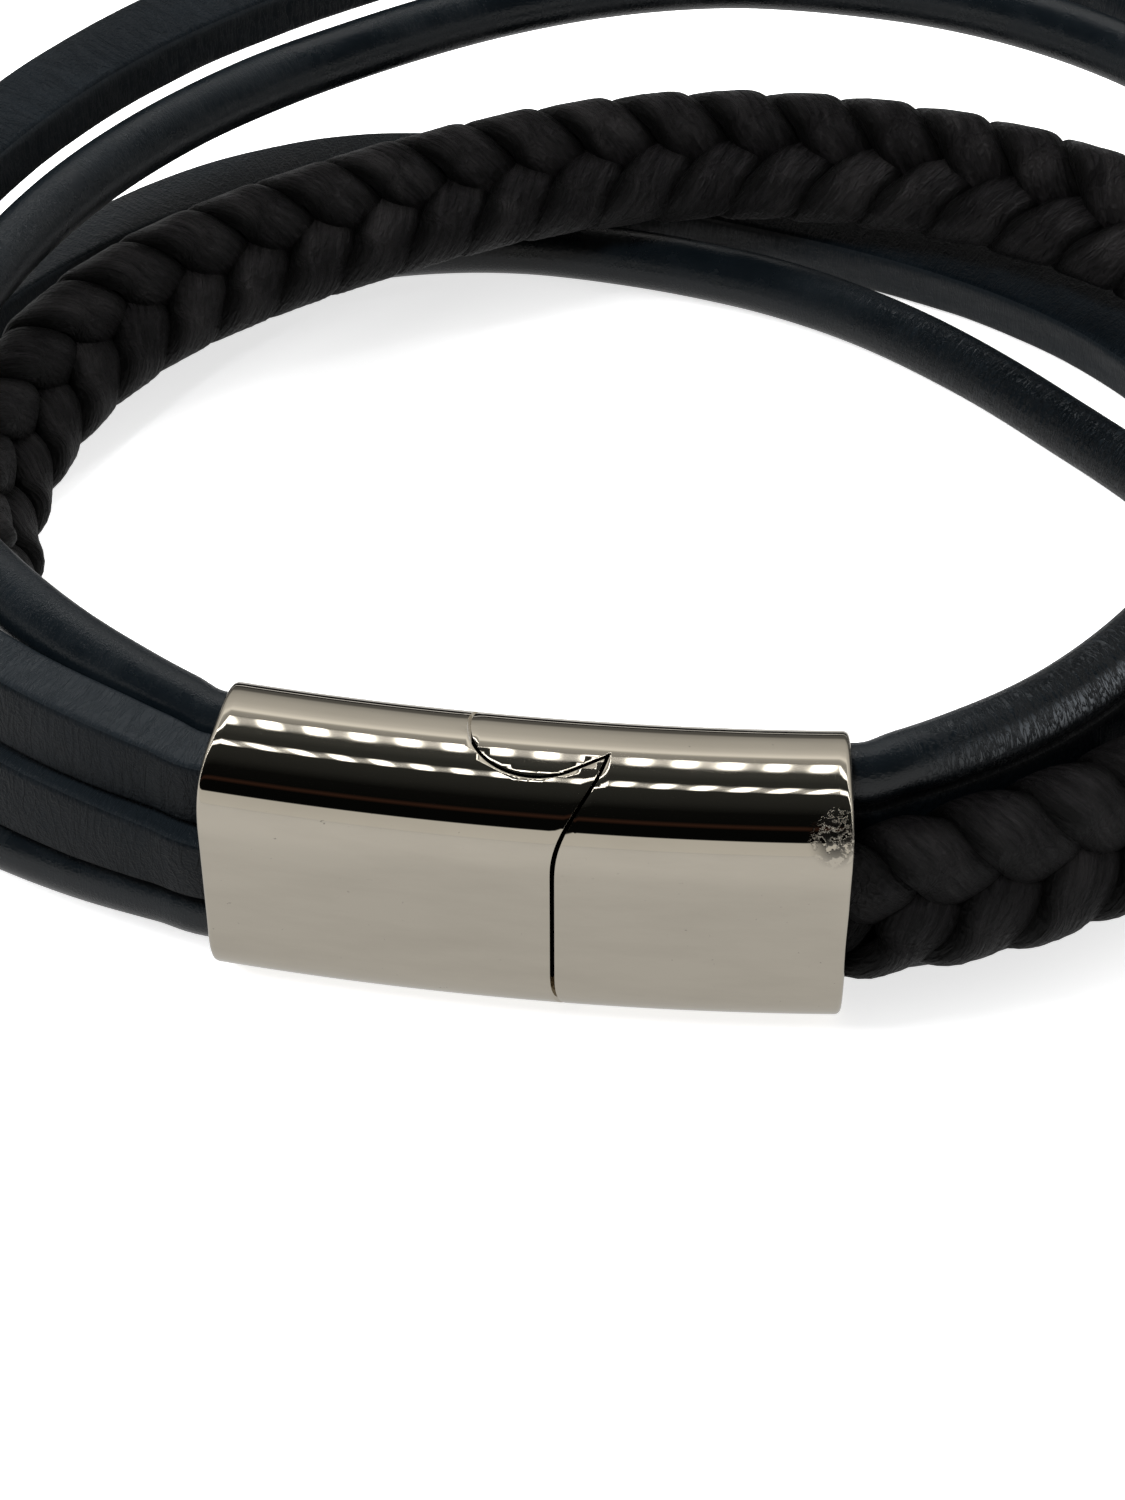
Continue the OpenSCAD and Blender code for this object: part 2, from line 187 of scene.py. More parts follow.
def read(rows, u, col):
    """Reads a column at the share u of the way, as a smooth curve through its rows."""
    last = len(rows) - 1
    k = min(int(u * last), last - 1)
    f = u * last - k
    a, b, c, d = (rows[i][col] for i in (max(k - 1, 0), k, k + 1, min(k + 2, last)))
    return b + f * ((c - a) / 2 + f * (a - 2.5 * b + 2 * c - d / 2
                                       + f * (1.5 * (b - c) + (d - a) / 2)))


def arch_point(bearing, out, up):
    b = math.radians(bearing)
    return np.array([(arch_r + out) * math.sin(b), arch_r - (arch_r + out) * math.cos(b), up])


def free_place(rows, u):
    a = math.radians(first_bearing + u * (last_bearing - first_bearing))
    n = np.array([math.sin(a) / half_w, -math.cos(a) / half_d])
    n *= read(rows, u, OUT) / np.linalg.norm(n)
    height = max(read(rows, u, UP), min(r[UP] for r in rows))
    x, y = CLASP_ASIDE + half_w * math.sin(a) + n[0], loop_y - half_d * math.cos(a) + n[1]
    c, s = math.cos(math.radians(LOOP_TURN)), math.sin(math.radians(LOOP_TURN))
    return np.array([x * c - y * s, x * s + y * c, height])


def place(rows, t):
    """The middle of a strand: t is below 0 in the right socket and above 1 in the left one."""
    sink = math.degrees(STRAND_IN / arch_r)
    if t < 0:
        return arch_point(half_arch + t * sink, rows[0][OUT], rows[0][UP])
    if t > 1:
        return arch_point(-half_arch + (t - 1) * sink, rows[-1][OUT], rows[-1][UP])
    side, end, u = (1, 0, t) if t < 0.5 else (-1, -1, 1 - t)
    mouth = arch_point(side * half_arch, rows[end][OUT], rows[end][UP])
    d = np.array([side * math.cos(math.radians(half_arch)), math.sin(math.radians(half_arch)), 0])
    miss = mouth - free_place(rows, 0.0 if side > 0 else 1.0)
    q = free_place(rows, t) + miss * (1 - ease(u / LEAD_SHARE))
    line = mouth + d * np.dot(q - mouth, d)
    return line + (q - line) * ease(u * loop_len / LEAD_LEN)


def unit(v):
    return v / np.linalg.norm(v)


def frame_at(rows, t, step=0.002):
    """A strand's middle, its section's outward and upward axes, and how full the section is."""
    way = unit(place(rows, t + step) - place(rows, t - step))
    flat_out = unit(np.cross(way, (0, 0, 1)))
    up = np.cross(flat_out, way)
    roll = math.radians(read(rows, min(max(t, 0), 1), ROLL))
    keep = PINCH + (1 - PINCH) * ease(min(t, 1 - t) / PINCH_SHARE)
    out_axis = flat_out * math.cos(roll) + up * math.sin(roll)
    up_axis = up * math.cos(roll) - flat_out * math.sin(roll)
    return place(rows, t), out_axis, up_axis, keep


WAY_STEPS = 400
marks = {}
for strand, rows in rows_of.items():
    spots = np.array([place(rows, k / WAY_STEPS) for k in range(WAY_STEPS + 1)])
    steps = np.linalg.norm(np.diff(spots, axis=0), axis=1)
    marks[strand] = np.concatenate([[0], np.cumsum(steps)])
    print(strand, "is", round(marks[strand][-1]), "mm long between its sockets")

# %% [markdown]
# ## Tubes for the leather
#
# Leather strands are swept forms: one section, carried along a way. Each is a mesh tube made from
# rings of points, because a ring can change its shape as it goes: a cord is never quite round, and
# a strap is a little domed and wavy. A UV map runs along the strand and round it in centimetres, so
# grain and creases keep their scale and follow the leather.

# %% Skin rings into a piece
origin_shift = np.array([clasp_mid[0] / MM, clasp_mid[1] / MM, 0.0])


def skin(name, rings, along, girth, edge_side=None):
    """Makes one closed tube. along is each ring's distance, girth each point's, both in mm."""
    rings = (np.asarray(rings) + origin_shift) * MM
    n, m = rings.shape[:2]
    faces, uvs = [], []
    for i in range(n - 1):
        for k in range(m):
            j = (k + 1) % m
            faces.append((i * m + k, i * m + j, (i + 1) * m + j, (i + 1) * m + k))
            g0, g1 = girth[k] / 10, girth[k + 1] / 10
            a0, a1 = along[i] / 10, along[i + 1] / 10
            uvs += [(a0, g0), (a0, g1), (a1, g1), (a1, g0)]
    for first in (0, n - 1):
        ring = [first * m + k for k in range(m)]
        faces.append(tuple(ring[::-1] if first == 0 else ring))
        uvs += [(along[first] / 10, girth[k] / 10) for k in range(m)]
    mesh = bpy.data.meshes.new(name)
    mesh.from_pydata(rings.reshape(-1, 3).tolist(), [], faces)
    mesh.uv_layers.new(name="leather")
    mesh.uv_layers["leather"].data.foreach_set("uv", np.array(uvs).ravel())
    if edge_side is not None:
        slots = [1 if edge_side[k] else 0 for _ in range(n - 1) for k in range(m)] + [1, 1]
        mesh.polygons.foreach_set("material_index", slots)
    mesh.polygons.foreach_set("use_smooth", [True] * len(faces))
    piece = bpy.data.objects.new(name, mesh)
    bpy.context.collection.objects.link(piece)
    print(name, "has", len(faces), "faces")
    return piece


def girth_of(section):
    """Distances round a closed section, one more than its points."""
    closed = np.vstack([section, section[:1]])
    return np.concatenate([[0], np.cumsum(np.linalg.norm(np.diff(closed, axis=0), axis=1))])


def share_of(strand, s):
    """Turns a distance along a strand into the share of its way."""
    length = marks[strand][-1]
    if s < 0:
        return s / STRAND_IN
    if s > length:
        return 1 + (s - length) / STRAND_IN
    return float(np.interp(s, marks[strand], np.linspace(0, 1, WAY_STEPS + 1)))


def wobble(s, g, scale, seed):
    """A smooth random value between about -1 and 1 that stays the same in every run."""
    return noise.noise(Vector((s / scale, g / scale, seed)))


# %% [markdown]
# ## Two round cords
#
# The round cords are solid leather, about 4 mm thick. Their outline is steady, but it is not a
# perfect circle: the section is pressed a little flat here and there.

# %% Round cords
STRAND_RINGS, CORD_SIDES, CORD_UNEVEN = 420, 28, 0.018


def round_cord(strand, name, seed):
    rows, length = rows_of[strand], marks[strand][-1]
    along = np.linspace(-STRAND_IN, length + STRAND_IN, STRAND_RINGS)
    turn_by = 2 * np.pi * np.arange(CORD_SIDES) / CORD_SIDES
    circle = np.stack([np.cos(turn_by), np.sin(turn_by)], 1) * CORD_D / 2
    rings = []
    for s in along:
        middle, out, up, keep = frame_at(rows, share_of(strand, s))
        swell = [1 + CORD_UNEVEN * wobble(s, 6 * math.cos(a), 7.0, seed + math.sin(a))
                 for a in turn_by]
        rings.append([middle + keep * k * (out * p[0] + up * p[1]) for p, k in zip(circle, swell)])
    return skin(name, rings, along, girth_of(circle))


upper_round_cord = round_cord("upper_cord", "upper_round_cord_leather", 3.0)
lower_round_cord = round_cord("lower_cord", "lower_round_cord_leather", 11.0)

# %% [markdown]
# ## Two flat straps
#
# A strap is cut from thick hide, so its section is a rectangle with slightly rounded corners. Its
# two wide faces are a little domed, wrinkled and dull. The narrow faces are the cut edges. They
# are less even, but rubbed to a smooth satin. The section is drawn with more points at the corners,
# and the cut edges get a material of their own.

# %% Flat straps
STRAP_CORNER, STRAP_DOME = 0.5, 0.1
FACE_WAVE, EDGE_WAVE = (0.05, 0.012), (0.1, 0.035)


def strap_outline(t, w, r, dome, per_corner=5, per_side=6):
    """Points round the section, and which of them start a stretch of cut edge."""
    points, cut = [], []
    corners = [(1, 1, 0), (-1, 1, 90), (-1, -1, 180), (1, -1, 270)]
    for n, (sx, sy, a0) in enumerate(corners):
        for i in range(per_corner):
            a = math.radians(a0 + 90 * i / (per_corner - 1))
            points.append((sx * (t / 2 - r) + r * math.cos(a), sy * (w / 2 - r) + r * math.sin(a)))
            cut.append(sx * sy > 0 if i >= 2 else sx * sy < 0)
        next_sx = corners[(n + 1) % 4][0]
        for i in range(1, per_side):
            f = i / per_side
            if next_sx != sx:
                points.append((sx * (t / 2 - r) * (1 - 2 * f), sy * w / 2))
                cut.append(True)
            else:
                bulge = dome * (1 - (1 - 2 * f) ** 2)
                points.append((sx * (t / 2 + bulge), sy * (w / 2 - r) * (1 - 2 * f)))
                cut.append(False)
    return np.array(points), cut


def flat_strap(strand, name, seed):
    rows, length = rows_of[strand], marks[strand][-1]
    along = np.linspace(-STRAND_IN, length + STRAND_IN, STRAND_RINGS)
    outline, cut = strap_outline(STRAP_T, STRAP_W, STRAP_CORNER, STRAP_DOME)
    rings = []
    for s in along:
        middle, out, up, keep = frame_at(rows, share_of(strand, s))
        ring = []
        for p, on_edge in zip(outline, cut):
            long_wave, short_wave = EDGE_WAVE if on_edge else FACE_WAVE
            g = wobble(s, p[1] + 3 * p[0], 5.0, seed) * long_wave
            g += wobble(s, p[1] - p[0], 1.2, seed + 5) * short_wave
            q = p * (1 + g / np.linalg.norm(p))
            ring.append(middle + keep * (out * q[0] + up * q[1]))
        rings.append(ring)
    return skin(name, rings, along, girth_of(outline), cut)


upper_flat_strap = flat_strap("upper_strap", "upper_flat_strap_leather", 21.0)
lower_flat_strap = flat_strap("lower_strap", "lower_flat_strap_leather", 37.0)

# %% [markdown]
# ## The flat braid
#
# Three soft strips cross over and under each other. On each face they show as two rows of leaf
# shapes that point along the braid. A strip swings from edge to edge once in each pitch and dips
# in and out twice as often. It lies nearly flat over the middle. At each edge it folds over and
# stands upright, so it is rolled as it goes. The strips here are wider and thicker than the solids,
# because the real ones press on each other with no gap. Near the right mouth of the clasp the
# braid is squeezed a little wider and leans outwards.

# %% Braid
STRIP_FULL_W, STRIP_FULL_T, SQUARENESS = 3.95, 2.0, 0.8
STRIP_REACH, STRIP_LIFT, FOLD = 3.38, 1.45, 112.0
MORE_LEAN, MORE_WIDE, SQUEEZED_LEN, RELAX_LEN = 12.0, 0.16, 15, 40
STRIP_RINGS, STRIP_SIDES, STRIP_UNEVEN, STRIP_FINE = 1000, 24, 0.05, 0.03
braid_rows, braid_len = rows_of["braid"], marks["braid"][-1]
braid_turns = round(braid_len / BRAID_PITCH)
STRIP_IN = STRAND_IN - 0.6


def strip_phase(number, s):
    return math.radians(120 * number) + 2 * math.pi * braid_turns * s / braid_len


def strip_middle(number, s):
    f = strip_phase(number, s)
    middle, out, up, keep = frame_at(braid_rows, share_of("braid", s))
    near = ease((s + 2) / 3) * (1 - ease((s - SQUEEZED_LEN) / RELAX_LEN))
    c, d = math.cos(math.radians(MORE_LEAN * near)), math.sin(math.radians(MORE_LEAN * near))
    out, up = out * c + up * d, up * c - out * d
    wide = keep * (1 + MORE_WIDE * near)
    across = STRIP_REACH * (math.sin(f) - 0.05 * math.sin(3 * f)) / 1.05
    deep = -STRIP_LIFT * (0.885 * math.sin(2 * f) + 0.138 * math.sin(6 * f))
    return middle + up * across * wide + out * deep * keep, out, up, wide


def squared(x):
    """Pushes a round outline a little towards a rectangle."""
    return np.sign(x) * np.abs(x) ** SQUARENESS


strip_turn = 2 * np.pi * np.arange(STRIP_SIDES) / STRIP_SIDES
strip_section = np.stack([squared(np.cos(strip_turn)) * STRIP_FULL_T / 2,
                          squared(np.sin(strip_turn)) * STRIP_FULL_W / 2], 1)
strip_girth = girth_of(strip_section)[-1]


def braid_strip(number, name, seed):
    along = np.linspace(-STRIP_IN, braid_len + STRIP_IN, STRIP_RINGS)
    rings = []
    for s in along:
        middle, out, up, swell = strip_middle(number, s)
        f = strip_phase(number, s)
        way = unit(strip_middle(number, s + 0.05)[0] - strip_middle(number, s - 0.05)[0])
        r = math.radians(90 + FOLD * math.cos(f))
        deep = out * math.cos(r) + up * math.sin(r)
        thick = unit(deep - way * np.dot(deep, way))
        wide = np.cross(thick, way)
        uneven = 1 + STRIP_UNEVEN * wobble(s, 0, 3.0, seed)
        ring = []
        for p in strip_section:
            fine = STRIP_FINE * wobble(s * 0.4, p[1] * 3, 1.0, seed + p[0])
            ring.append(middle + swell * uneven * (thick * (p[0] + fine) + wide * p[1]))
        rings.append(ring)
    return skin(name, rings, along, girth_of(strip_section))


strips = [braid_strip(n, f"braid_strip_{n + 1}_leather", 50.0 + 7 * n) for n in range(3)]

# %% [markdown]
# ## The clasp
#
# The clasp is an arched bar of steel with rounded edges. A hook-shaped seam cuts it in two: the
# right half ends in a round tongue, and the left half in a pointed nose that hooks round it. Each
# half is modelled the way a toolmaker would: a flat section is rounded and spun through the arch,
# the socket for the strands is cut out of its end, and then the seam is cut. A fine bevel breaks
# every sharp edge, because a mirror finish shows its edges as thin bright lines.

# %% Helpers for modelling by operators
def only(piece):
    bpy.ops.object.select_all(action="DESELECT")
    piece.select_set(True)
    bpy.context.view_layer.objects.active = piece


def apply(piece, kind, **values):
    only(piece)
    step = piece.modifiers.new(kind.lower(), kind)
    for key, value in values.items():
        setattr(step, key, value)
    bpy.ops.object.modifier_apply(modifier=step.name)


def put_down(piece):
    only(piece)
    bpy.ops.object.transform_apply(location=True, rotation=True, scale=True)


def cut(piece, tool, how="DIFFERENCE"):
    apply(piece, "BOOLEAN", object=tool, operation=how, solver="EXACT")


def drop(tool):
    bpy.data.objects.remove(tool, do_unlink=True)


# %% [markdown]
# The clasp is bent to follow the wrist. A bar with a rounded section could be bent afterwards, but
# spinning the section round the middle of the arch gives the exact radius at once. The same
# function makes the outer bar and the smaller bar that is cut out of it as a socket.

# %% A bar that follows the arch
arch_mid = Vector((clasp_mid[0], clasp_mid[1] + arch_r * MM, clasp_mid[2]))


def arch_bar(name, t, w, offset, profile, start, end, steps):
    """A rounded section of t by w, spun round the arch from one bearing to the other."""
    bpy.ops.object.select_all(action="DESELECT")
    a = math.radians(start)
    at = arch_mid + Vector((math.sin(a), -math.cos(a), 0)) * arch_r * MM
    bpy.ops.mesh.primitive_plane_add(size=1, location=at,
                                     rotation=(math.pi / 2, 0, a + math.pi / 2))
    bar = bpy.context.object
    bar.name = bar.data.name = name
    bar.scale = (t * MM, w * MM, 1)
    put_down(bar)
    bpy.ops.object.mode_set(mode="EDIT")
    bpy.ops.mesh.select_all(action="SELECT")
    bpy.ops.mesh.bevel(offset=offset * MM, segments=20, profile=profile, affect="VERTICES")
    bpy.ops.mesh.select_all(action="SELECT")
    bpy.ops.mesh.spin(steps=steps, angle=math.radians(start - end), center=arch_mid,
                      axis=(0, 0, 1))
    bpy.ops.mesh.select_all(action="SELECT")
    bpy.ops.mesh.remove_doubles(threshold=0.001 * MM)
    bpy.ops.mesh.normals_make_consistent(inside=False)
    bpy.ops.object.mode_set(mode="OBJECT")
    print(name, "bar has", len(bar.data.polygons), "faces")
    return bar


# %% [markdown]
# The seam is easiest to draw in plan, as the outline of everything that belongs to the right half:
# up the front in a long shallow arc that is the nose's own side, along the pointed tip, round the
# tongue and straight out at the back. That outline is pulled up past the width of the clasp. Cut
# from the left half with a small gap, and kept from the right half without one, it makes the seam.

# %% A block with the plan of the seam
TONGUE_R, NOSE_R, NOSE_REACH, SEAM_GAP = 3.8, 12.0, 0.75, 0.22
NOSE_BEARING, NOSE_TURN = -22.0, 172.0
tongue_mid = np.array([0.2, CLASP_T / 2 - 2.45])
nose_tip = tongue_mid + (TONGUE_R + NOSE_REACH) * np.array(
    [math.cos(math.radians(NOSE_BEARING)), math.sin(math.radians(NOSE_BEARING))])
nose_mid = nose_tip + NOSE_R * np.array(
    [math.cos(math.radians(NOSE_TURN)), math.sin(math.radians(NOSE_TURN))])
seam_front, seam_far = -CLASP_T / 2 - 0.5, CLASP_LEN


def arc(mid, r, a0, a1, count):
    return [mid + r * np.array([math.cos(a), math.sin(a)]) for a in np.linspace(a0, a1, count)]


def leave_circle(p, d, c, r):
    """Where a line from p along d leaves the circle of radius r round c."""
    m = p - c
    b = np.dot(m, d)
    return p + d * (-b + math.sqrt(b * b - np.dot(m, m) + r * r))


def tongue_plan(gap):
    v = nose_tip - tongue_mid
    lean = math.atan2(v[1], v[0]) - math.acos(TONGUE_R / np.linalg.norm(v))
    root = tongue_mid + TONGUE_R * np.array([math.cos(lean), math.sin(lean)])
    edge = unit(root - nose_tip)
    away = np.array([-edge[1], edge[0]])
    tip = leave_circle(root + away * gap, -edge, nose_mid, NOSE_R - gap)
    front = leave_circle(np.array([nose_mid[0], seam_front]), np.array([1.0, 0.0]), nose_mid,
                         NOSE_R - gap)
    a_front, a_tip = (math.atan2(*(p - nose_mid)[::-1]) for p in (front, tip))
    plan = arc(nose_mid, NOSE_R - gap, a_front, a_tip, 20)
    plan += arc(tongue_mid, TONGUE_R + gap, lean, -1.5 * math.pi, 48)
    plan += [np.array(p) for p in ((tongue_mid[0], CLASP_T), (seam_far, CLASP_T),
                                   (seam_far, seam_front))]
    return plan


def upright(name, plan):
    """A plan in millimetres, pulled up past the whole width of the clasp."""
    bpy.ops.object.select_all(action="DESELECT")
    bpy.ops.mesh.primitive_circle_add(vertices=len(plan), radius=1, fill_type="NGON")
    block = bpy.context.object
    block.name = block.data.name = name
    for vert, p in zip(block.data.vertices, plan):
        vert.co = (clasp_mid[0] + p[0] * MM, clasp_mid[1] + p[1] * MM, -5 * MM)
    bpy.ops.object.mode_set(mode="EDIT")
    bpy.ops.mesh.select_all(action="SELECT")
    bpy.ops.mesh.extrude_region_move(
        TRANSFORM_OT_translate={"value": (0, 0, (CLASP_W + 10) * MM)})
    bpy.ops.mesh.select_all(action="SELECT")
    bpy.ops.mesh.normals_make_consistent(inside=False)
    bpy.ops.object.mode_set(mode="OBJECT")
    return block


# %% [markdown]
# Each half starts as the whole bar. The rim of its open end is rounded while it is still a clean
# ring of edges. The socket is cut next, then the seam, and last a shallow notch across the back of
# the tongue. The fine bevel comes after all cuts, so that every new edge gets it too.

# %% Both halves of the clasp
SECTION_ROUND, SECTION_PROFILE, RIM_BREAK, EDGE_BREAK = 4.95, 0.64, 0.35, 0.14
SOCKET_ROUND = CLASP_WALL * 3.2
socket_angle = math.degrees(SOCKET_DEPTH / arch_r)


def round_rim(piece, side):
    """Rounds the outer rim of a half's open end."""
    d = math.radians(side * half_arch)
    normal = Vector((math.cos(d) * side, math.sin(d) * side, 0))
    mouth = clasp_mid + Vector((side * mouth_x, mouth_y, 0)) * MM
    only(piece)
    bpy.ops.object.mode_set(mode="EDIT")
    bpy.ops.mesh.select_mode(type="EDGE")
    bpy.ops.mesh.select_all(action="DESELECT")
    bpy.ops.object.mode_set(mode="OBJECT")
    for edge in piece.data.edges:
        ends = [piece.data.vertices[i].co for i in edge.vertices]
        edge.select = all(abs((p - mouth).dot(normal)) < 0.02 * MM for p in ends)
    bpy.ops.object.mode_set(mode="EDIT")
    bpy.ops.mesh.bevel(offset=RIM_BREAK * MM, segments=4, profile=0.5, affect="EDGES")
    bpy.ops.mesh.select_mode(type="VERT")
    bpy.ops.object.mode_set(mode="OBJECT")


def clasp_half(name, side):
    half = arch_bar(name, CLASP_T, CLASP_W, SECTION_ROUND, SECTION_PROFILE,
                    -half_arch, half_arch, 48)
    round_rim(half, side)
    far = (half_arch + 1) * side
    deep = (half_arch - socket_angle) * side
    socket = arch_bar("socket", socket_t, socket_w, SOCKET_ROUND, 0.5,
                      min(far, deep), max(far, deep), 12)
    cut(half, socket)
    drop(socket)
    return half


clasp_hook = clasp_half("clasp_hook_polished", -1)
clasp_tongue = clasp_half("clasp_tongue_polished", 1)
with_gap = upright("seam_cut", tongue_plan(SEAM_GAP))
without = upright("seam_keep", tongue_plan(0))
cut(clasp_hook, with_gap)
cut(clasp_tongue, without, "INTERSECT")
NOTCH_W, NOTCH_DEEP = 2.2, 0.4
notch = upright("notch", [np.array(p) for p in (
    (nose_tip[0] - NOTCH_W / 2, CLASP_T / 2 - NOTCH_DEEP),
    (nose_tip[0] + NOTCH_W / 2, CLASP_T / 2 - NOTCH_DEEP),
    (nose_tip[0] + NOTCH_W / 2, CLASP_T), (nose_tip[0] - NOTCH_W / 2, CLASP_T))])
cut(clasp_tongue, notch)
for tool in (with_gap, without, notch):
    drop(tool)
for half in (clasp_hook, clasp_tongue):
    apply(half, "BEVEL", width=EDGE_BREAK * MM, segments=3, limit_method="ANGLE",
          angle_limit=math.radians(38), use_clamp_overlap=True)
    only(half)
    bpy.ops.object.shade_smooth_by_angle(angle=math.radians(32))
    print(half.name, "has", len(half.data.polygons), "faces")

# %% [markdown]
# ## Finishes
#
# Four effects are shared, so each is a node group with its own inputs: the pebbled grain of
# leather, long fibres, crosswise creases where a strand bends, and patches of wear. Each gives only
# a value that varies over the surface. The shader that uses it stays in the material.

# %% Helpers for node groups
def new_group(name, inputs, outputs):
    group = bpy.data.node_groups.new(name, "ShaderNodeTree")
    for label, kind, value in inputs:
        socket = group.interface.new_socket(name=label, in_out="INPUT", socket_type=kind)
        if value is not None:
            socket.default_value = value
    for label in outputs:
        group.interface.new_socket(name=label, in_out="OUTPUT", socket_type="NodeSocketFloat")
    source, sink = group.nodes.new("NodeGroupInput"), group.nodes.new("NodeGroupOutput")
    return group, source.outputs, sink.inputs


def node(tree, kind, values=(), links=(), **settings):
    """Adds a node; values and links are pairs of a socket and what it gets."""
    made = tree.nodes.new(kind)
    for key, value in settings.items():
        setattr(made, key, value)
    for key, value in values:
        made.inputs[key].default_value = value
    for key, source in links:
        tree.links.new(source, made.inputs[key])
    return made


def maths(tree, what, a, b=None, c=None, clamp=False):
    made = tree.nodes.new("ShaderNodeMath")
    made.operation, made.use_clamp = what, clamp
    for k, value in enumerate((a, b, c)):
        if value is None:
            continue
        if isinstance(value, (int, float)):
            made.inputs[k].default_value = value
        else:
            tree.links.new(value, made.inputs[k])
    return made.outputs[0]


def remap(tree, value, low, high, to_low=0.0, to_high=1.0):
    made = node(tree, "ShaderNodeMapRange", [(1, low), (2, high), (3, to_low), (4, to_high)],
                [(0, value)], clamp=True, interpolation_type="SMOOTHSTEP")
    return made.outputs[0]


VECTOR, FLOAT = "NodeSocketVector", "NodeSocketFloat"

# %% [markdown]
# Grain is a net of small cells with a finer noise over it. Fibres are a noise that is stretched
# along the strip. Creases are the thin lines where a noise passes its middle value, and they are
# squeezed along the strand so that they run across it. Wear is a broad noise that is cut off
# between two levels. All four are worked out from coordinates, so they need no picture.

# %% Grain, fibres, creases and wear
grain_group, gi, go = new_group("leather_grain", [("Vector", VECTOR, None),
                                                  ("Scale", FLOAT, 30.0)], ["Height"])
cells = node(grain_group, "ShaderNodeTexVoronoi", [("Randomness", 0.9)],
             [("Vector", gi["Vector"]), ("Scale", gi["Scale"])], feature="DISTANCE_TO_EDGE")
pores = node(grain_group, "ShaderNodeTexNoise", [("Detail", 6.0), ("Roughness", 0.6)],
             [("Vector", gi["Vector"]), ("Scale", gi["Scale"])])
pebble = remap(grain_group, cells.outputs["Distance"], 0.0, 0.22)
grain_group.links.new(maths(grain_group, "MULTIPLY_ADD", pores.outputs["Fac"], 0.7,
                            maths(grain_group, "MULTIPLY", pebble, 0.45)), go["Height"])

fibre_group, gi, go = new_group("leather_fibres", [("Vector", VECTOR, None),
                                                   ("Scale", FLOAT, 8.0)], ["Height"])
stretch = node(fibre_group, "ShaderNodeMapping", [("Scale", (1.0, 3.0, 1.0))],
               [("Vector", gi["Vector"])])
strands = node(fibre_group, "ShaderNodeTexNoise",
               [("Detail", 8.0), ("Roughness", 0.65), ("Distortion", 0.4)],
               [("Vector", stretch.outputs[0]), ("Scale", gi["Scale"])])
fibre_group.links.new(strands.outputs["Fac"], go["Height"])

crease_group, gi, go = new_group("cross_creases", [("Vector", VECTOR, None),
                                                   ("Scale", FLOAT, 6.0)], ["Height"])
squeeze = node(crease_group, "ShaderNodeMapping", [("Scale", (5.0, 1.0, 1.0))],
               [("Vector", gi["Vector"])])
folds = node(crease_group, "ShaderNodeTexNoise",
             [("Detail", 5.0), ("Roughness", 0.55), ("Distortion", 0.9)],
             [("Vector", squeeze.outputs[0]), ("Scale", gi["Scale"])])
ridge = maths(crease_group, "ABSOLUTE", maths(crease_group, "SUBTRACT", folds.outputs["Fac"], 0.5))
crease_group.links.new(remap(crease_group, ridge, 0.0, 0.09), go["Height"])

wear_group, gi, go = new_group("worn_patches", [("Vector", VECTOR, None), ("Scale", FLOAT, 2.0),
                                                ("Low", FLOAT, 0.52), ("High", FLOAT, 0.7)],
                               ["Mask"])
cloud = node(wear_group, "ShaderNodeTexNoise", [("Detail", 7.0), ("Roughness", 0.6)],
             [("Vector", gi["Vector"]), ("Scale", gi["Scale"])])
clip = node(wear_group, "ShaderNodeMapRange", [],
            [(0, cloud.outputs["Fac"]), (1, gi["Low"]), (2, gi["High"])], clamp=True)
wear_group.links.new(clip.outputs[0], go["Mask"])
print("node groups:", len(bpy.data.node_groups))

# %% [markdown]
# Each material starts from the same skeleton: a Principled shader whose colour, roughness and bump
# come from the groups. Black leather is never pure black. It is a dark grey with a little blue or
# brown in it, and it is paler where it is rubbed.

# %% Skeleton of a material
def new_material(name, **uniform):
    material = bpy.data.materials.new(name)
    material.use_nodes = True
    tree = material.node_tree
    shader = tree.nodes["Principled BSDF"]
    for key, value in uniform.items():
        shader.inputs[key.replace("_", " ")].default_value = value
    return material, tree, shader


def group_node(tree, group, vector, **values):
    made = tree.nodes.new("ShaderNodeGroup")
    made.node_tree = group
    tree.links.new(vector, made.inputs["Vector"])
    for key, value in values.items():
        made.inputs[key].default_value = value
    return made.outputs[0]


def mix_colour(tree, mask, dark, pale):
    made = node(tree, "ShaderNodeMix", data_type="RGBA")
    made.inputs["A"].default_value = (*dark, 1) if isinstance(dark, tuple) else (0, 0, 0, 1)
    if not isinstance(dark, tuple):
        tree.links.new(dark, made.inputs["A"])
    made.inputs["B"].default_value = (*pale, 1)
    tree.links.new(mask, made.inputs["Factor"])
    return made.outputs["Result"]


def finish_with(tree, shader, colour, rough, height, distance):
    """Links colour and roughness, and a bump that is distance millimetres deep."""
    tree.links.new(colour, shader.inputs["Base Color"])
    tree.links.new(rough, shader.inputs["Roughness"])
    bump = node(tree, "ShaderNodeBump", [("Strength", 1.0), ("Distance", distance * MM)],
                [("Height", height)])
    tree.links.new(bump.outputs[0], shader.inputs["Normal"])


def uv_of(tree):
    return node(tree, "ShaderNodeTexCoord").outputs["UV"]
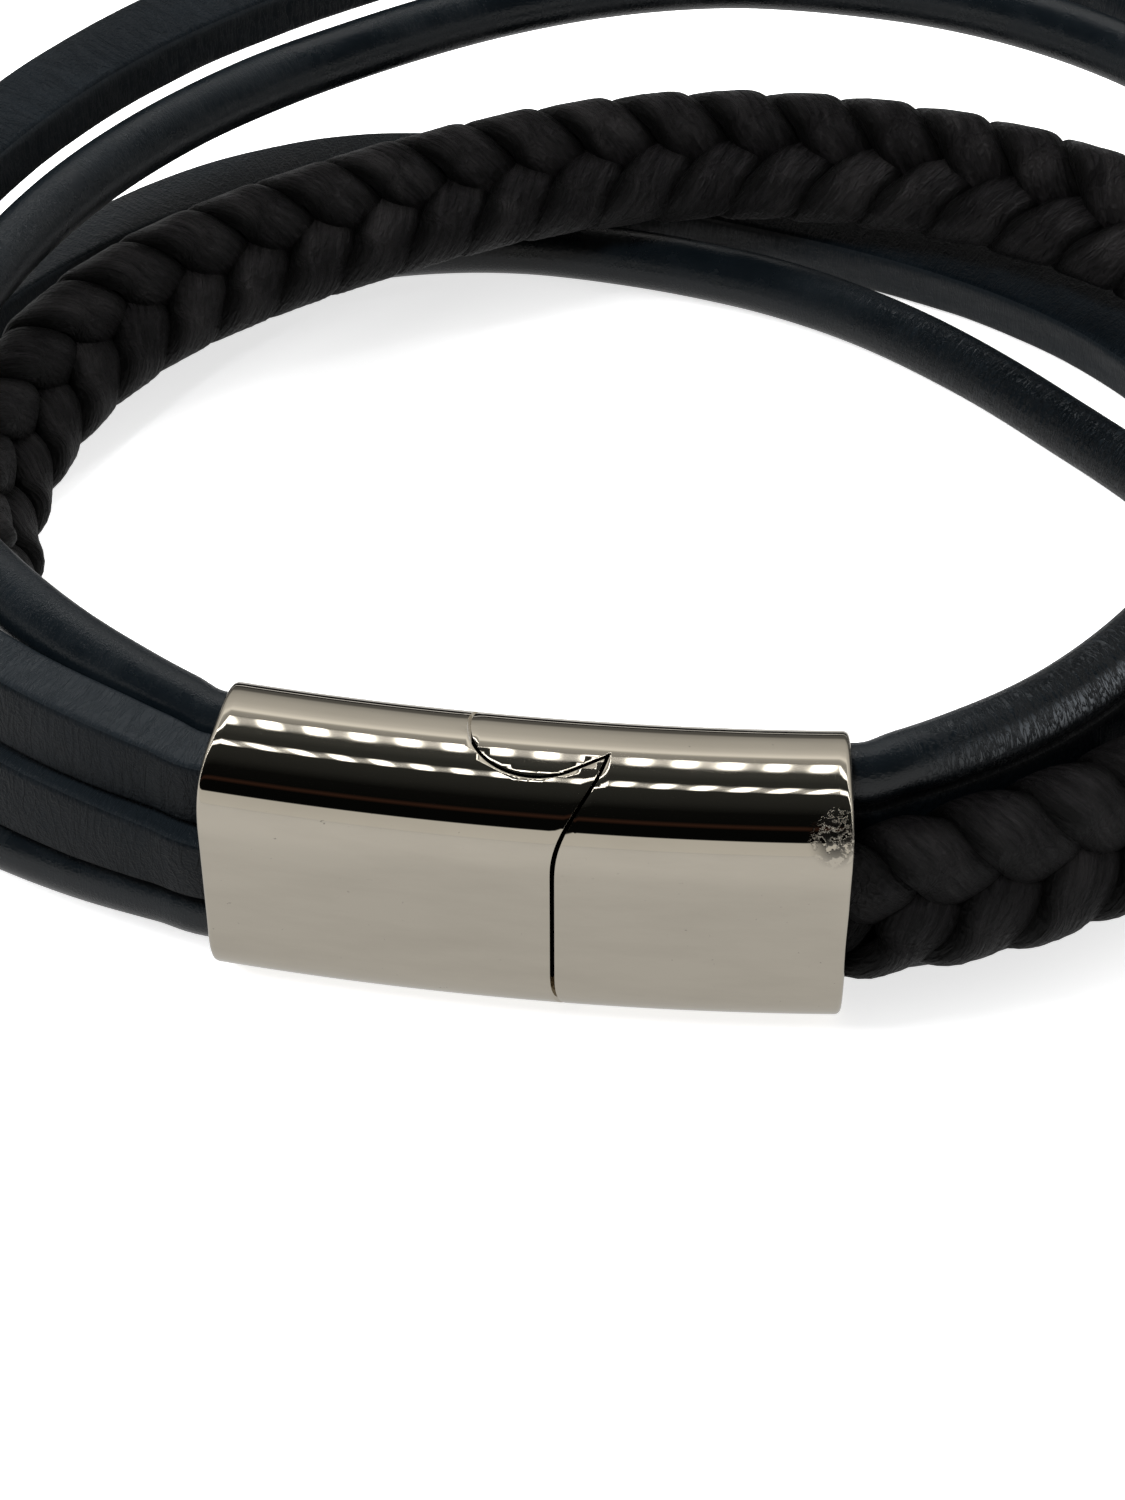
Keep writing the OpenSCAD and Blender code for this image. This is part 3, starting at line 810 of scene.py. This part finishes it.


# %% [markdown]
# The braid is the roughest and brownest leather. Its fibres run along each strip and catch the
# light as short streaks. The colour falls to nearly black towards the two edges of a strip, as
# painted shade, so the grooves of the braid read as dark lines.

# %% Braid leather
braid_leather, tree, shader = new_material("braid_leather", IOR=1.34, Specular_IOR_Level=0.4)
uv = uv_of(tree)
grain = group_node(tree, grain_group, uv, Scale=22.0)
fibres = group_node(tree, fibre_group, uv, Scale=9.0)
worn = group_node(tree, wear_group, uv, Scale=3.0, Low=0.48, High=0.75)
round_strip = node(tree, "ShaderNodeSeparateXYZ", [], [(0, uv)]).outputs["Y"]
face_turns = 40 * math.pi / strip_girth
face = maths(tree, "COSINE", maths(tree, "MULTIPLY", round_strip, face_turns))
shade_free_crest = remap(tree, face, -0.95, 0.5)
tone = mix_colour(tree, remap(tree, fibres, 0.35, 0.65), (0.0016, 0.0015, 0.0016),
                  (0.0052, 0.0048, 0.0051))
tone = mix_colour(tree, maths(tree, "MULTIPLY", worn, 0.6), tone, (0.018, 0.0168, 0.0168))
# Painted shade: the colour falls to nearly black towards the edges of a strip, in the grooves.
tone = mix_colour(tree, maths(tree, "SUBTRACT", 1.0, shade_free_crest), tone, (0.0004, 0.0004, 0.0004))
rough = remap(tree, fibres, 0.3, 0.7, 0.62, 0.46)
height = maths(tree, "MULTIPLY_ADD", fibres, 1.6, maths(tree, "MULTIPLY", grain, 0.5))
finish_with(tree, shader, tone, rough, height, 0.50)
print("made", braid_leather.name)

# %% [markdown]
# The round cords are the smoothest leather, with a soft shine. Where a cord bends away from the
# right mouth of the clasp its skin is pressed into fine creases, and a line along its outer side
# is painted paler, partly as a scuff and partly as a painted highlight. The UV map runs along the
# cord in centimetres, so it says where that is.

# %% Cord leather
cord_leather, tree, shader = new_material("cord_leather", IOR=1.42)
uv = uv_of(tree)
grain = group_node(tree, grain_group, uv, Scale=40.0)
creases = group_node(tree, crease_group, uv, Scale=9.0)
worn = group_node(tree, wear_group, uv, Scale=1.6, Low=0.38, High=0.78)
run = node(tree, "ShaderNodeSeparateXYZ", [], [(0, uv)]).outputs
bent = maths(tree, "MULTIPLY", remap(tree, run["X"], 0.2, 1.6),
             remap(tree, run["X"], 5.0, 8.0, 1.0, 0.0))
off_line = maths(tree, "ABSOLUTE", maths(tree, "SUBTRACT", run["Y"], 0.10))
ridge = maths(tree, "MULTIPLY", bent, remap(tree, off_line, 0.02, 0.11, 1.0, 0.0))
tone = mix_colour(tree, worn, (0.0012, 0.0020, 0.0027), (0.0030, 0.0043, 0.0055))
# The pale line is partly a scuff and partly a painted highlight along the bent part of the cord.
tone = mix_colour(tree, maths(tree, "MULTIPLY", ridge, creases), tone, (0.060, 0.066, 0.072))
rough = remap(tree, worn, 0.0, 1.0, 0.26, 0.40)
creased = maths(tree, "MULTIPLY_ADD", bent, 3.2, maths(tree, "MULTIPLY", worn, 0.4))
height = maths(tree, "MULTIPLY_ADD", creases, creased, maths(tree, "MULTIPLY", grain, 0.3))
finish_with(tree, shader, tone, rough, height, 0.05)
print("made", cord_leather.name)

# %% [markdown]
# A strap shows two kinds of surface. Its wide faces have the wrinkled, dull skin of the hide. Its
# cut edges have no skin, but they are dyed and rubbed, so they are a little paler and shinier. Two
# materials on one piece say this more simply than one material with a mask.

# %% Strap leather: wide faces and cut edges
strap_leather, tree, shader = new_material("strap_leather", IOR=1.33, Specular_IOR_Level=0.3)
uv = uv_of(tree)
grain = group_node(tree, grain_group, uv, Scale=26.0)
creases = group_node(tree, crease_group, uv, Scale=2.6)
worn = group_node(tree, wear_group, uv, Scale=1.3, Low=0.45, High=0.72)
tone = mix_colour(tree, worn, (0.0012, 0.0020, 0.0028), (0.0028, 0.0041, 0.0053))
rough = remap(tree, worn, 0.0, 1.0, 0.48, 0.60)
height = maths(tree, "MULTIPLY_ADD", creases, 0.8, maths(tree, "MULTIPLY", grain, 0.6))
finish_with(tree, shader, tone, rough, height, 0.06)

strap_cut, tree, shader = new_material("strap_cut_edge", IOR=1.4)
uv = uv_of(tree)
fibres = group_node(tree, fibre_group, uv, Scale=6.0)
creases = group_node(tree, crease_group, uv, Scale=5.0)
tone = mix_colour(tree, fibres, (0.0024, 0.0035, 0.0046), (0.0040, 0.0056, 0.0070))
rough = remap(tree, fibres, 0.3, 0.7, 0.52, 0.40)
height = maths(tree, "MULTIPLY_ADD", fibres, 1.3, maths(tree, "MULTIPLY", creases, 0.7))
finish_with(tree, shader, tone, rough, height, 0.03)
print("made", strap_leather.name, "and", strap_cut.name)

# %% [markdown]
# The steel is polished like a mirror, so nearly all of its looks come from what it reflects. A
# faint film of smudges makes the reflection a little softer in places, a few dark specks lie on it,
# and a dull crust of old glue sits at the right end, next to the strands.

# %% Polished steel
steel, tree, shader = new_material("polished_steel", Metallic=1.0)
here = node(tree, "ShaderNodeTexCoord").outputs["Object"]
wiped = node(tree, "ShaderNodeMapping", [("Scale", (0.35, 1.0, 1.3))], [("Vector", here)])
smudge = group_node(tree, wear_group, wiped.outputs[0], Scale=300.0, Low=0.42, High=0.74)
speck = group_node(tree, wear_group, here, Scale=2400.0, Low=0.69, High=0.74)
glue_at = clasp_mid + Vector((17.2, -2.6, 7.2)) * MM
GLUE_CORE, GLUE_RIM = 0.7, 1.9
offset = node(tree, "ShaderNodeVectorMath", [(1, glue_at)], [(0, here)], operation="DISTANCE")
near_glue = remap(tree, offset.outputs["Value"], GLUE_CORE * MM, GLUE_RIM * MM, 1.0, 0.0)
crust = group_node(tree, wear_group, here, Scale=2200.0, Low=0.44, High=0.50)
glue = maths(tree, "MULTIPLY", near_glue, crust)
marks_on = maths(tree, "MAXIMUM", maths(tree, "MULTIPLY", speck, 0.55), glue)
tone = mix_colour(tree, smudge, (0.515, 0.472, 0.395), (0.475, 0.434, 0.362))
tone = mix_colour(tree, marks_on, tone, (0.05, 0.048, 0.045))
rough = maths(tree, "ADD", remap(tree, smudge, 0.0, 1.0, 0.015, 0.04),
              maths(tree, "MULTIPLY", marks_on, 0.3))
finish_with(tree, shader, tone, rough, glue, 0.03)
print("materials:", len(bpy.data.materials))

# %% [markdown]
# ## Dress the frame
#
# Every new piece rides on the one body of the part and stands for its own solid, which is then
# hidden.

# %% Hand the pieces over
def hand_over(piece, solid, slot, *materials):
    for material in materials:
        piece.data.materials.append(material)
    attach(piece, "root")
    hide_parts(solid)


hand_over(clasp_hook, "clasp_hook", "steel", steel)
hand_over(clasp_tongue, "clasp_tongue", "steel", steel)
for n, strip in enumerate(strips):
    hand_over(strip, f"braid_strip_{n + 1}", "braid_leather", braid_leather)
hand_over(upper_round_cord, "upper_round_cord", "cord_leather", cord_leather)
hand_over(lower_round_cord, "lower_round_cord", "cord_leather", cord_leather)
hand_over(upper_flat_strap, "upper_flat_strap", "strap_leather", strap_leather, strap_cut)
hand_over(lower_flat_strap, "lower_flat_strap", "strap_leather", strap_leather, strap_cut)

# %% [markdown]
# ## Floor and light
#
# The photograph was taken in a small white light tent: white all round, a dark opening at the
# front where the camera looks in, and two rows of small lamps above. The steel shows all of that.
# The world is painted the same way: an angle is worked out from the front over the top to the back,
# and a ramp turns it into light. First comes the paper that the bracelet lies on. To the camera it
# is white with a faint shadow. To every other ray it is a grey sheet with an even glow, as the
# steel shows it low on its front. One shader can be both, because it can ask which kind of ray it
# answers.

# %% Floor
bpy.ops.object.select_all(action="DESELECT")
bpy.ops.mesh.primitive_plane_add(size=3, location=(0, 0, 0))
floor = bpy.context.object
floor.name = "floor"
paper, tree, shader = new_material("white_paper", Roughness=0.85)
shader.inputs["Emission Color"].default_value = (1, 1, 1, 1)
uv = node(tree, "ShaderNodeTexCoord").outputs["Object"]
mottle = group_node(tree, wear_group, uv, Scale=3.0, Low=0.3, High=0.7)
pale = mix_colour(tree, mottle, (0.93, 0.93, 0.93), (0.91, 0.91, 0.91))
seen = node(tree, "ShaderNodeLightPath").outputs["Is Camera Ray"]
made = node(tree, "ShaderNodeMix", [], [("Factor", seen), ("B", pale)], data_type="RGBA")
made.inputs["A"].default_value = (0.10, 0.10, 0.10, 1)
tree.links.new(made.outputs["Result"], shader.inputs["Base Color"])
tree.links.new(maths(tree, "MULTIPLY_ADD", seen, 0.12, 0.58), shader.inputs["Emission Strength"])
floor.data.materials.append(paper)
print("the floor is", round(floor.dimensions.x, 1), "m wide")

# %% [markdown]
# Three kinds of ray meet three kinds of sky. Mirrored rays meet the ramp of the light tent, so the
# steel shows its white front, its dark opening, its two rows of lamps and its grey back. Soft rays
# meet plain white that grows stronger from the front over the top to the back, and that lights
# the leather evenly. The camera meets pure white, as in the photograph. A model of a tent with
# walls and lamps would do the same, but it would be slower and hard to tune.

# %% Light tent
world = bpy.data.worlds.new("light_tent")
bpy.context.scene.world = world
world.use_nodes = True
tree = world.node_tree
towards = node(tree, "ShaderNodeTexCoord").outputs["Generated"]
axes = node(tree, "ShaderNodeSeparateXYZ", [], [(0, towards)]).outputs
front = maths(tree, "MULTIPLY", axes["Y"], -1.0)
over = maths(tree, "DIVIDE", maths(tree, "ARCTAN2", axes["Z"], front), math.pi)
ramp = node(tree, "ShaderNodeValToRGB", [], [(0, over)])
white, brown, black = (1.0, 0.985, 0.955), (1.0, 0.45, 0.3), (1.0, 1.05, 1.0)
stops = [(0.0, 0.56, white), (0.155, 0.52, white), (0.165, 0.002, black), (0.31, 0.002, black),
         (0.345, 0.03, brown), (0.38, 0.003, black), (0.50, 0.004, black), (0.58, 0.016, black),
         (0.715, 0.028, black), (0.732, 0.05, black), (0.742, 0.30, white), (0.749, 0.34, white),
         (0.756, 0.92, white), (0.772, 0.62, white), (0.80, 0.50, white), (0.86, 0.41, white),
         (0.91, 0.30, white), (0.935, 0.10, white), (1.0, 0.08, white)]
ramp.color_ramp.elements[0].position, ramp.color_ramp.elements[1].position = 0.0, 1.0
for at, _, _ in stops[1:-1]:
    ramp.color_ramp.elements.new(at)
for element, (_, light, tint) in zip(ramp.color_ramp.elements, stops):
    element.color = (light * tint[0], light * tint[1], light * tint[2], 1)
LAMPS_PER_UNIT, LAMP_LIGHT = 84.0, 6.0
LAMP_ROWS = ((0.735, 0.005), (0.683, 0.016))
lamp_x = maths(tree, "FRACT", maths(tree, "MULTIPLY", axes["X"], LAMPS_PER_UNIT))
lamp_x = maths(tree, "ABSOLUTE", maths(tree, "SUBTRACT", lamp_x, 0.5))
lamp_dot = remap(tree, lamp_x, 0.08, 0.34, 1.0, 0.07)
rows_lit = None
for at, half_row in LAMP_ROWS:
    off = maths(tree, "ABSOLUTE", maths(tree, "SUBTRACT", over, at))
    row = remap(tree, off, 0.2 * half_row, half_row, 1.0, 0.0)
    rows_lit = row if rows_lit is None else maths(tree, "ADD", rows_lit, row)
lamps = maths(tree, "MULTIPLY", maths(tree, "MULTIPLY", rows_lit, lamp_dot), LAMP_LIGHT)
lamp_light = node(tree, "ShaderNodeCombineColor", [], [(0, lamps), (1, lamps), (2, lamps)])
tent = node(tree, "ShaderNodeMix", [("Factor", 1.0)],
            [("A", ramp.outputs[0]), ("B", lamp_light.outputs[0])], data_type="RGBA",
            blend_type="ADD")
mirrored = node(tree, "ShaderNodeBackground", [("Strength", 1.43)],
                [("Color", tent.outputs["Result"])])
soft = node(tree, "ShaderNodeBackground", [("Color", (1, 1, 1, 1))],
            [("Strength", remap(tree, over, 0.2, 0.75, 0.15, 1.4))])
plain = node(tree, "ShaderNodeBackground", [("Color", (1, 1, 1, 1)), ("Strength", 1.0)])
rays = node(tree, "ShaderNodeLightPath")
seen = node(tree, "ShaderNodeMixShader", [],
            [(0, rays.outputs["Is Camera Ray"]), (1, soft.outputs[0]), (2, plain.outputs[0])])
mixed = node(tree, "ShaderNodeMixShader", [],
             [(0, rays.outputs["Is Glossy Ray"]), (1, seen.outputs[0]), (2, mirrored.outputs[0])])
tree.links.new(mixed.outputs[0], tree.nodes["World Output"].inputs["Surface"])
print("the light tent has", len(stops), "stops and", len(LAMP_ROWS), "rows of lamps")

# %% [markdown]
# Three soft round lamps shape the strands: one at the front, one at the back and one on the left.
# The front one lights the leather only. None of them shows as a reflection, because the steel
# should show the tent alone.

# %% Soft lamps
def soft_lamp(name, at, aim, size, power):
    bpy.ops.object.light_add(type="AREA", location=at)
    lamp = bpy.context.object
    lamp.name = name
    lamp.data.shape, lamp.data.size, lamp.data.energy = "DISK", size, power
    lamp.visible_glossy = False
    lamp.rotation_mode = "QUATERNION"
    lamp.rotation_quaternion = (Vector(aim) - Vector(at)).to_track_quat("-Z", "Y")
    return lamp


leather_only = bpy.data.collections.new("leather_only")
for piece in (*strips, upper_round_cord, lower_round_cord, upper_flat_strap, lower_flat_strap):
    leather_only.objects.link(piece)
sheen_lamp = soft_lamp("lamp_sheen", (-0.12, -0.22, 0.55), (0, 0, 0), 0.16, 6.0)
sheen_lamp.light_linking.receiver_collection = leather_only
soft_lamp("lamp_back", (-0.15, 0.45, 0.55), (0, 0, 0), 0.35, 9.0)
soft_lamp("lamp_left", (-0.5, -0.1, 0.45), (0, 0, 0), 0.3, 3.5)
bpy.context.scene.view_settings.view_transform = "Standard"
